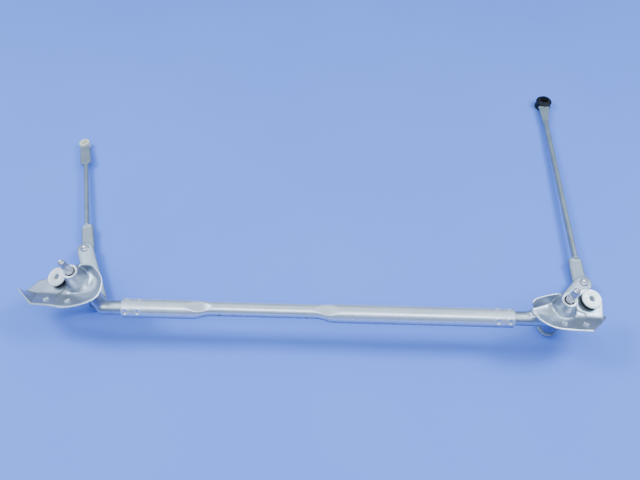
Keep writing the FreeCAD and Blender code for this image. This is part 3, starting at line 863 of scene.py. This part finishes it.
def frame_tube():
    """Round tube with crimped ends, a pressed waist and two small holes."""
    dents = crimp_dents()
    stations = tube_stations()
    first, last = (tube_ring(end, TUBE_RADIUS - END_EDGE, 0, None)
                   for end in (-TUBE_HALF, TUBE_HALF))
    outer = [tube_ring(along, TUBE_RADIUS, 0, dents if abs(along) > CRIMPED_FROM else None)
             for along in stations]
    inner = [tube_ring(along, TUBE_BORE, WAIST["wall"], None)
             for along in [-TUBE_HALF] + stations[::4] + [TUBE_HALF]]
    verts, faces = sweep_rings([first, *outer, last, *inner[::-1], first], cap=False)
    tube = add_piece("crimped_frame_tube", verts, faces, "frame", "tube_steel",
                     ["frame_tube"], tube_frame)
    front = Vector((0, -1, 0))
    hole = WAIST["hole"]
    for along in (WAIST["start"] + WAIST["hole_inset"], WAIST["end"] - WAIST["hole_inset"]):
        verts, faces = lathe([(0, 4), (hole, 4), (hole, 16), (0, 16)], closed=False, segments=24)
        cut_away(tube, verts, faces,
                 local_frame(TUBE_CENTRE + ALONG_X * along * MM, front, ALONG_X))


def cut_away(piece, verts, faces, matrix):
    """Cut a closed mesh from a piece for good."""
    mesh = mesh_of("cutter", verts, faces, matrix)
    cutter = in_scene("cutter", mesh)
    cut = piece.modifiers.new("cut", "BOOLEAN")
    cut.operation = "DIFFERENCE"
    cut.solver = "EXACT"
    cut.object = cutter
    apply_modifiers(piece)
    bpy.data.objects.remove(cutter)
    bpy.data.meshes.remove(mesh)


# ------------------------------------------------------------- turned round parts
def ball_arc(radius, start, end, steps=10):
    """Points on a circle about the origin, between two angles from the X axis."""
    turns = [math.radians(start + (end - start) * step / steps) for step in range(steps + 1)]
    return [(radius * math.cos(turn), radius * math.sin(turn), 0) for turn in turns]


def turned(name, profile, body, slot, replaced, matrix, radius=0.3, closed=True, segments=64,
           finish=None):
    """A turned piece, from its profile in (radius, height) millimetres."""
    verts, faces = lathe(rounded(profile, radius, closed), closed, segments)
    add_piece(name, verts, faces, body, slot, replaced, matrix, finish=finish)


def boss_ring(side):
    """Machined ring at the top of the boss, with a chamfer inside and out."""
    top = BOSS_TOP
    shelf = top - RECESS_DEPTH
    profile = [(9.15, top - 4.6), (9.1, top - 0.5, 0.4), (8.7, top, 0.4), (7.6, top, 0.2),
               (7.35, top - 0.3, 0.2), (7.35, shelf), (8.3, shelf), (8.3, top - 4.6)]
    turned(side + "_boss_ring", profile, "frame", "cast_alloy", (), frames[side]["pivot"], 0.1,
           finish="machined_face")


def shaft_seal(side):
    """Rubber lip seal in a bright pressed case, in the recess at the top of the boss."""
    low = BOSS_TOP - 3.25
    profile = [(6.5, low + 0.2, 0.2), (6.5, low + 1.6, 0.3), (6.1, low + 1.2, 0.3),
               (5.6, low + 0.9, 0.3), (5.06, low + 1.8, 0.1), (5.06, low + 0.5, 0.2),
               (5.5, low + 0.2, 0.2)]
    turned(side + "_wiping_seal", profile, "frame", "black_rubber", [side + "_shaft_seal"],
           frames[side]["pivot"])
    case = [(7.3, low, 0.3), (7.3, low + 2.5, 0.3), (6.3, low + 2.6, 0.4), (6.1, low + 2.1, 0.2),
            (6.5, low + 1.7, 0.1), (6.9, low + 1.7, 0.1), (6.9, low + 0.2, 0.1), (5.8, low, 0.1)]
    turned(side + "_seal_case", case, "frame", "bright_zinc", (), frames[side]["pivot"], 0.1,
           finish="machined_face")


def ear_mount(side):
    """Grommet, flanged sleeve and lower washer at the ear."""
    place = frames[side]["ear"]
    half = FLOOR_THICK / 2
    lip = half + 6.2
    bulge = [(4.62, lip, 0.3), (11.2, lip, 0.6), (11.5, lip - 1.4, 0.8), (10.9, half + 3, 1),
             (11.5, half + 1.8, 0.8), (11.4, half + 0.02, 0.5), (7.0, half + 0.02, 0.2)]
    grommet = bulge + [(radius, -height, bend) for radius, height, bend in reversed(bulge)]
    turned(side + "_rubber_grommet", grommet, "frame", "black_rubber",
           [side + "_ear_grommet"], place, 0.4, segments=80)
    sleeve = [(3.25, lip + 1.1, 0.3), (3.7, lip + 1.5, 0.3), (5.2, lip + 1.35, 0.8),
              (9.6, lip + 1.35, 0.8), (11.4, lip + 1.5, 0.5), (12.25, lip + 1.1, 0.5),
              (12.15, lip + 0.1, 0.3), (11.7, lip, 0.2), (4.55, lip, 0.2),
              (4.55, -lip - 1.3, 0.3), (4.2, -lip - 1.5, 0.1), (3.25, -lip - 1.5, 0.2)]
    turned(side + "_flanged_sleeve", sleeve, "frame", "bright_zinc", [side + "_ear_sleeve"],
           place, 0.3, segments=96)
    washer = [(4.6, -lip, 0.1), (9.7, -lip, 0.2), (10, -lip - 0.3, 0.2),
              (10, -lip - 1.2, 0.3), (9.6, -lip - 1.5, 0.2), (4.9, -lip - 1.5, 0.2),
              (4.6, -lip - 1.2, 0.1)]
    turned(side + "_backing_washer", washer, "frame", "bright_zinc", [side + "_ear_washer"],
           place, 0.2)


def ball_stud(side):
    """Ball, waisted neck, collar, shank and a domed rivet head with a peening dimple."""
    under = BALL_DROP - LEVER_HALF
    over = BALL_DROP + LEVER_HALF
    profile = ball_arc(5, -90, 56)
    profile += [(2.5, 4.7, 0.4), (2.45, under - 1.5, 0.4), (3.0, under - 1, 0.3),
                (4.5, under - 1, 0.3), (4.5, under, 0.1), (3.5, under, 0.05),
                (3.5, over, 0.05), (5.3, over, 0.1), (5.5, over + 0.35, 0.3),
                (4.6, over + 1.5, 1.2), (2.9, over + 2.2, 1.0), (1.6, over + 1.9, 0.6),
                (0.8, over + 1.3, 0.3), (0, over + 1.25)]
    turned(side + "_riveted_ball_stud", profile, side + "_arm", "shaft_steel",
           [side + "_ball_stud"], frames[side]["ball"], closed=False)


def dust_boot(side):
    """Small bellows ring round the stud's neck."""
    middle = BALL_DROP - LEVER_HALF - 1.7
    profile = [(2.55, middle + 0.5), (3.6, middle + 0.25), (4.3, middle + 0.6),
               (5.2, middle + 0.5), (5.75, middle + 0.05), (5.2, middle - 0.45),
               (4.3, middle - 0.55), (3.6, middle - 0.2), (2.55, middle - 0.5)]
    turned(side + "_bellows_boot", profile, side + "_boot", "black_rubber",
           [side + "_dust_boot"], frames[side]["ball"], 0.35)


def lever_socket(side):
    """Nylon cup over the lever's ball, with a flange and a flared mouth."""
    profile = ball_arc(5.05, -81.9, 43)
    profile += [(4.3, 3.9, 0.3), (6.2, 3.9, 0.4), (6.4, 3.2, 0.2), (7.8, 3.1, 0.5),
                (7.8, 1.5, 0.2), (6.45, 1.5, 0.2), (6.4, -5, 0.5)]
    turned(side + "_snap_socket", profile, side + "_link", SOCKETS[side]["slot"],
           [side + "_lever_socket"], frames[side]["ball"], 0.2)


# The outside runs from the bottom up to the mouth, and the cavity is its radius and the
# angle at which it meets the mouth.
SOCKETS = {
    "left": {
        "slot": "ivory_nylon", "cavity": (4.6, 20),
        "outside": [(6.6, -6.6, 0.5), (7.2, -5.6, 0.5), (7.3, 2.4, 0.3), (7.9, 3.05, 0.5),
                    (7.5, 4, 0.6)],
        "mouth": [(5.2, 4, 0.6), (4.3, 2.6, 0.4), (3.95, 1.6, 0.3)],
    },
    "right": {
        "slot": "black_nylon", "cavity": (5.6, 18),
        "outside": [(12.3, -8.6, 0.4), (12.5, -8, 0.4), (12.5, -5.4, 0.5), (11.1, -4.8, 0.5),
                    (11.1, 1.9, 0.2), (12.4, 2.05, 0.3), (12.2, 3.9, 0.8), (10.9, 4.6, 0.5),
                    (9.6, 6.3, 2), (7.4, 6.9, 1.2)],
        "mouth": [(6.8, 6.9, 0.5), (5.6, 3.4, 0.4), (4.9, 1.8, 0.3)],
    },
}


def motor_socket(side):
    """Ball socket at the link's free end, its mouth open upwards."""
    shape = SOCKETS[side]
    radius, lip = shape["cavity"]
    profile = shape["outside"] + shape["mouth"] + ball_arc(radius, lip, -88)
    profile.append((0.2, shape["outside"][0][1], 0))
    turned(side + "_open_socket", profile, side + "_link", shape["slot"],
           [side + "_motor_socket"], frames[side]["far"], segments=96)


def wave_washer(side):
    """Thin spring washer with three waves, between lever and barrel."""
    steps = 96
    corners = ((5.1, -0.2), (8.4, -0.2), (8.4, 0.2), (5.1, 0.2))
    rings = []
    for step in range(steps):
        angle = TURN * step / steps
        middle = LEVER_HALF + 0.65 + 0.2 * math.cos(3 * angle)
        rings.append([(radius * math.cos(angle), radius * math.sin(angle), middle + rise)
                      for radius, rise in corners])
    verts, faces = sweep_rings(rings + rings[:1], cap=False)
    add_piece(side + "_spring_washer", verts, faces, "frame", "bright_zinc",
              [side + "_wave_washer"], frames[side]["pivot"])


# ------------------------------------------------------------------ wiper shafts
SPLINE_TEETH = 32
SPLINE_DEPTH = 0.42
THREAD_PITCH = 1.25
THREAD_ROOT = 3.65
THREAD_DEPTH = 0.35
RELIEF_RADIUS = 3.6
CONE_BASE = 83
THREAD_BASE = 92
THREAD_TOP = 100


def shaft_radius(height, angle):
    """Radius of the wiper shaft over its lever, with spline teeth and a helical thread."""
    if height < CONE_BASE:
        return 5
    if height < THREAD_BASE:
        cone = 5 - 0.6 * (height - CONE_BASE) / (THREAD_BASE - CONE_BASE)
        tooth = 0.5 - 0.5 * math.cos(SPLINE_TEETH * angle)
        return cone - SPLINE_DEPTH * tooth * smooth_step(height, CONE_BASE, CONE_BASE + 1.5)
    turns = (height - THREAD_BASE) / THREAD_PITCH - angle / TURN
    groove = abs(2 * (turns % 1) - 1)
    ends = smooth_step(height, THREAD_BASE, THREAD_BASE + 1)
    ends *= 1 - smooth_step(height, THREAD_TOP - 0.8, THREAD_TOP)
    flank = THREAD_ROOT + THREAD_DEPTH * groove - RELIEF_RADIUS
    shoulder = 0.3 * (1 - smooth_step(height, THREAD_BASE, THREAD_BASE + 0.4))
    return RELIEF_RADIUS + flank * ends + shoulder


def wiper_shaft(side):
    """Riveted tang, plain stem, circlip groove, splined cone and threaded end."""
    sides = SPLINE_TEETH * 4
    angles = [TURN * step / sides for step in range(sides)]
    clip = BOSS_TOP - RECESS_DEPTH + 1.28
    levels = [(-6.35, 0), (-6.35, 3.6), (-6.1, 4.3), (-5.2, 4.9), (-LEVER_HALF - 0.6, 6),
              (-LEVER_HALF, 6.1), (-LEVER_HALF, 4.5), (LEVER_HALF, 4.5), (LEVER_HALF, 5),
              (clip, 5), (clip, 4.4), (clip + 1.14, 4.4), (clip + 1.14, 5)]
    rings = [(height, [radius] * sides) for height, radius in levels]
    height = CONE_BASE - 0.3
    while height < THREAD_TOP:
        rings.append((height, [shaft_radius(height, angle) for angle in angles]))
        height += 0.16 if height > THREAD_BASE - 0.2 else 0.6
    for rise, radius in ((0, 3.6), (0.8, 2.9), (1, 2.4), (0.7, 1.4), (0.2, 0)):
        rings.append((THREAD_TOP + rise, [radius] * sides))
    points = [[(radius * math.cos(angle), radius * math.sin(angle), height)
               for radius, angle in zip(reaches, angles)] for height, reaches in rings]
    verts, faces = sweep_rings(points, cap=False)
    add_piece(side + "_splined_shaft", verts, faces, side + "_arm", "shaft_steel",
              [side + "_wiper_shaft"], frames[side]["pivot"], smooth=35)


# ------------------------------------------------------------ levers and link rods
LEVER_RADII = (11.5, 10.5)


def lever_outline(length, inset):
    """A tapered bar with round ends, drawn inwards by an amount."""
    start, end = LEVER_RADII
    lean = math.degrees(math.asin((start - end) / length))
    points = []
    for centre, radius, first, side in ((length, end, -90, 1), (0, start, 90, -1)):
        begin = first + side * lean
        sweep = 180 - side * 2 * lean
        for step in range(25):
            angle = math.radians(begin + sweep * step / 24)
            reach = radius - inset
            points.append((centre + reach * math.cos(angle), reach * math.sin(angle)))
    return points


def crank_lever(side):
    """Sheared flat bar with rounded edges and a hole at each end."""
    length = frames[side]["lever_length"]
    rings = []
    for inset, height in ((0.75, -1), (0.25, -0.88), (0, -0.6), (0, 0.45), (0.12, 0.8),
                          (0.4, 0.96), (0.75, 1)):
        rings.append([(x, y, height * LEVER_HALF) for x, y in lever_outline(length, inset)])
    verts, faces = sweep_rings(rings)
    lever = add_piece(side + "_pressed_lever", verts, faces, side + "_arm", "lever_steel",
                      [side + "_crank_lever"], frames[side]["lever"])
    for along, radius in ((0, 4.5), (length, 3.5)):
        verts, faces = lathe([(0, -4), (radius, -4), (radius, 4), (0, 4)], closed=False)
        cut_away(lever, verts, faces,
                 frames[side]["lever"] @ Matrix.Translation((along, 0, 0)))


# A blade is its length, its width at the socket and at the rod, and for the far one its
# thickness. The rod lies shifted sideways, and each blade turns to meet it.
LINKS = {
    "left": {"near": (43, 18, 16), "far": (44, 14, 16, 6), "rod": 6.5, "shift": -1.5,
             "outer": 16.5},
    "right": {"near": (40, 20, 18), "far": (48, 17, 9, 4), "rod": 8, "shift": 3,
              "outer": 25},
}
BLADE_HALF = 1.5
EDGE_ROLL = 1.1
ROD_SIDES = 48
SHOULDER = 5
SQUARE = 7
ROUND = 2
HOLE_RADIUS = 6.5


def section(matrix, along, shift, half_wide, half_thick, squareness, roll=0):
    """One ring of a bar: an oval that grows squarer, with its edges rolled down."""
    ring = []
    power = 2 / squareness
    for step in range(ROD_SIDES):
        angle = TURN * step / ROD_SIDES
        across, rise = (math.copysign(abs(part) ** power, part)
                        for part in (math.cos(angle), math.sin(angle)))
        rise = rise * half_thick - roll * max(0, (abs(across) - 0.7) / 0.3) ** 2
        ring.append(matrix @ Vector((along, shift + across * half_wide, rise)))
    return ring


def near_rings(side):
    """Blade at the lever's ball, from its rounded end to the rod."""
    near = frames[side]["ball"]
    reach, wide, neck = LINKS[side]["near"]
    shift, rod = LINKS[side]["shift"], LINKS[side]["rod"] / 2
    rings = []
    for step in range(13):
        angle = math.radians(90 * step / 12)
        along = -wide / 2 * math.cos(angle)
        half = max(wide / 2 * math.sin(angle), 0.8)
        soft = min(1, 0.45 + 1.6 * (along + wide / 2))
        rings.append(section(near, along, 0, half, BLADE_HALF * soft, SQUARE))
    end = reach - 2
    for step in range(1, 13):
        share = step / 12
        half = (wide + (neck - wide) * share) / 2
        roll = EDGE_ROLL * smooth_step(share, 0.25, 0.5)
        rings.append(section(near, end * share, shift * share, half, BLADE_HALF, SQUARE, roll))
    for step in range(1, 9):
        share = smooth_step(step / 8, 0, 1)
        half = neck / 2 + (rod - neck / 2) * share
        thick = BLADE_HALF + (rod - BLADE_HALF) * share
        rings.append(section(near, end + SHOULDER * step / 8, shift, half, thick,
                             SQUARE + (ROUND - SQUARE) * share, EDGE_ROLL * (1 - share)))
    return rings


def far_rings(side):
    """Blade at the motor crank's socket, from the rod into the socket's wall."""
    far = frames[side]["far"]
    reach, wide, neck, thickness = LINKS[side]["far"]
    shift, rod = LINKS[side]["shift"], LINKS[side]["rod"] / 2
    rings = []
    for step in range(8):
        share = smooth_step(step / 8, 0, 1)
        half = rod + (neck / 2 - rod) * share
        thick = rod + (thickness / 2 - rod) * share
        rings.append(section(far, -reach - SHOULDER * (1 - step / 8), shift, half, thick,
                             ROUND + (SQUARE - ROUND) * share))
    for step in range(9):
        share = step / 8
        along = -reach - (LINKS[side]["outer"] / 2 - 1 - reach) * share
        half = (neck + (wide - neck) * share) / 2
        rings.append(section(far, along, shift * -along / reach, half, thickness / 2, SQUARE))
    return rings


def link_rod(side):
    """Round rod pressed flat at both ends, with a socket hole in the near blade."""
    verts, faces = sweep_rings(near_rings(side) + far_rings(side))
    link = add_piece(side + "_flattened_rod", verts, faces, side + "_link", "rod_steel",
                     [side + "_link_rod"], Matrix())
    verts, faces = lathe([(0, -6), (HOLE_RADIUS, -6), (HOLE_RADIUS, 6), (0, 6)], closed=False)
    cut_away(link, verts, faces, frames[side]["ball"])


# ------------------------------------------------------------------- all the pieces
frame_tube()
for end in SIDES:
    for make in (cast_holder, boss_ring, shaft_seal, ear_mount, wiper_shaft, crank_lever,
                 ball_stud, dust_boot, wave_washer, lever_socket, link_rod, motor_socket):
        make(end)

# ---------------------------------------------------------------- camera and room
CAMERA_ELEVATION = math.radians(50)
CAMERA_ROLL = 0.0268
CAMERA_RANGE = 0.9536
CAMERA_AIM = Vector((tube_middle.x, tube_middle.y + 0.1567, 0))

camera_data = bpy.data.cameras.new("camera")
camera_data.sensor_width = 36
camera_data.lens = 39.375
camera = in_scene("camera", camera_data)
back_off = Vector((0, -math.cos(CAMERA_ELEVATION), math.sin(CAMERA_ELEVATION)))
camera.location = CAMERA_AIM + back_off * CAMERA_RANGE
camera.rotation_euler = (Matrix.Rotation(math.pi / 2 - CAMERA_ELEVATION, 3, "X")
                         @ Matrix.Rotation(CAMERA_ROLL, 3, "Z")).to_euler()
bpy.context.scene.camera = camera

LAMP_COLOUR = (0.7, 0.84, 1)
WORLD_STOPS = [(0, (0.01, 0.02, 0.06)), (0.3, (0.04, 0.07, 0.2)), (0.55, (0.34, 0.47, 0.75)),
               (0.8, (0.74, 0.88, 1))]
FLOOR_REACH = 6


def area_light(name, place, target, size, power):
    """A soft rectangular lamp that points at a target."""
    lamp = bpy.data.lights.new(name, "AREA")
    lamp.shape = "RECTANGLE"
    lamp.size, lamp.size_y = size
    lamp.energy = power
    lamp.color = LAMP_COLOUR
    holder = in_scene(name, lamp)
    holder.location = place
    holder.rotation_euler = (Vector(target) - Vector(place)).to_track_quat("-Z", "Y").to_euler()


def studio_world():
    """Bright overhead and dark blue towards the horizon, as under a studio's ceiling."""
    world = bpy.data.worlds.new("studio")
    world.use_nodes = True
    tree = world.node_tree
    coords = tree.nodes.new("ShaderNodeTexCoord")
    split = tree.nodes.new("ShaderNodeSeparateXYZ")
    wire(tree, coords.outputs["Generated"], split.inputs["Vector"])
    background = tree.nodes["Background"]
    wire(tree, ramp(tree, split.outputs["Z"], WORLD_STOPS), background.inputs["Color"])
    background.inputs["Strength"].default_value = 1
    bpy.context.scene.world = world


def pale_floor():
    """The plain blue table that the linkage lies on."""
    made, tree, shader = new_material("pale_floor")
    cloud = grain(tree, 3, 2)
    wire(tree, ramp(tree, cloud, [(0.2, (0.14, 0.28, 0.97)), (0.8, (0.16, 0.31, 0.99))]),
         shader.inputs["Base Color"])
    shader.inputs["Roughness"].default_value = 0.75
    mesh = bpy.data.meshes.new("floor")
    corners = [(x * FLOOR_REACH, y * FLOOR_REACH, 0)
               for x, y in ((-1, -1), (1, -1), (1, 1), (-1, 1))]
    mesh.from_pydata(corners, [], [(0, 1, 2, 3)])
    mesh.materials.append(made)
    in_scene("floor", mesh)


area_light("left_softbox", (-1.15, -0.05, 1.45), (0, -0.1, 0), (0.5, 0.5), 20)
area_light("right_softbox", (1.15, -0.05, 1.45), (0, -0.1, 0), (0.5, 0.5), 20)
area_light("front_softbox", (0, -1.2, 1.9), (0, 0, 0), (1.8, 0.9), 24)
studio_world()
pale_floor()

# --------------------------------------------------- finish of the CAD's own nodes
for part in record["subparts"]:
    piece = frame["nodes"][part["node"]]
    piece.data.materials.clear()
    piece.data.materials.append(materials[part["material_slot"]])
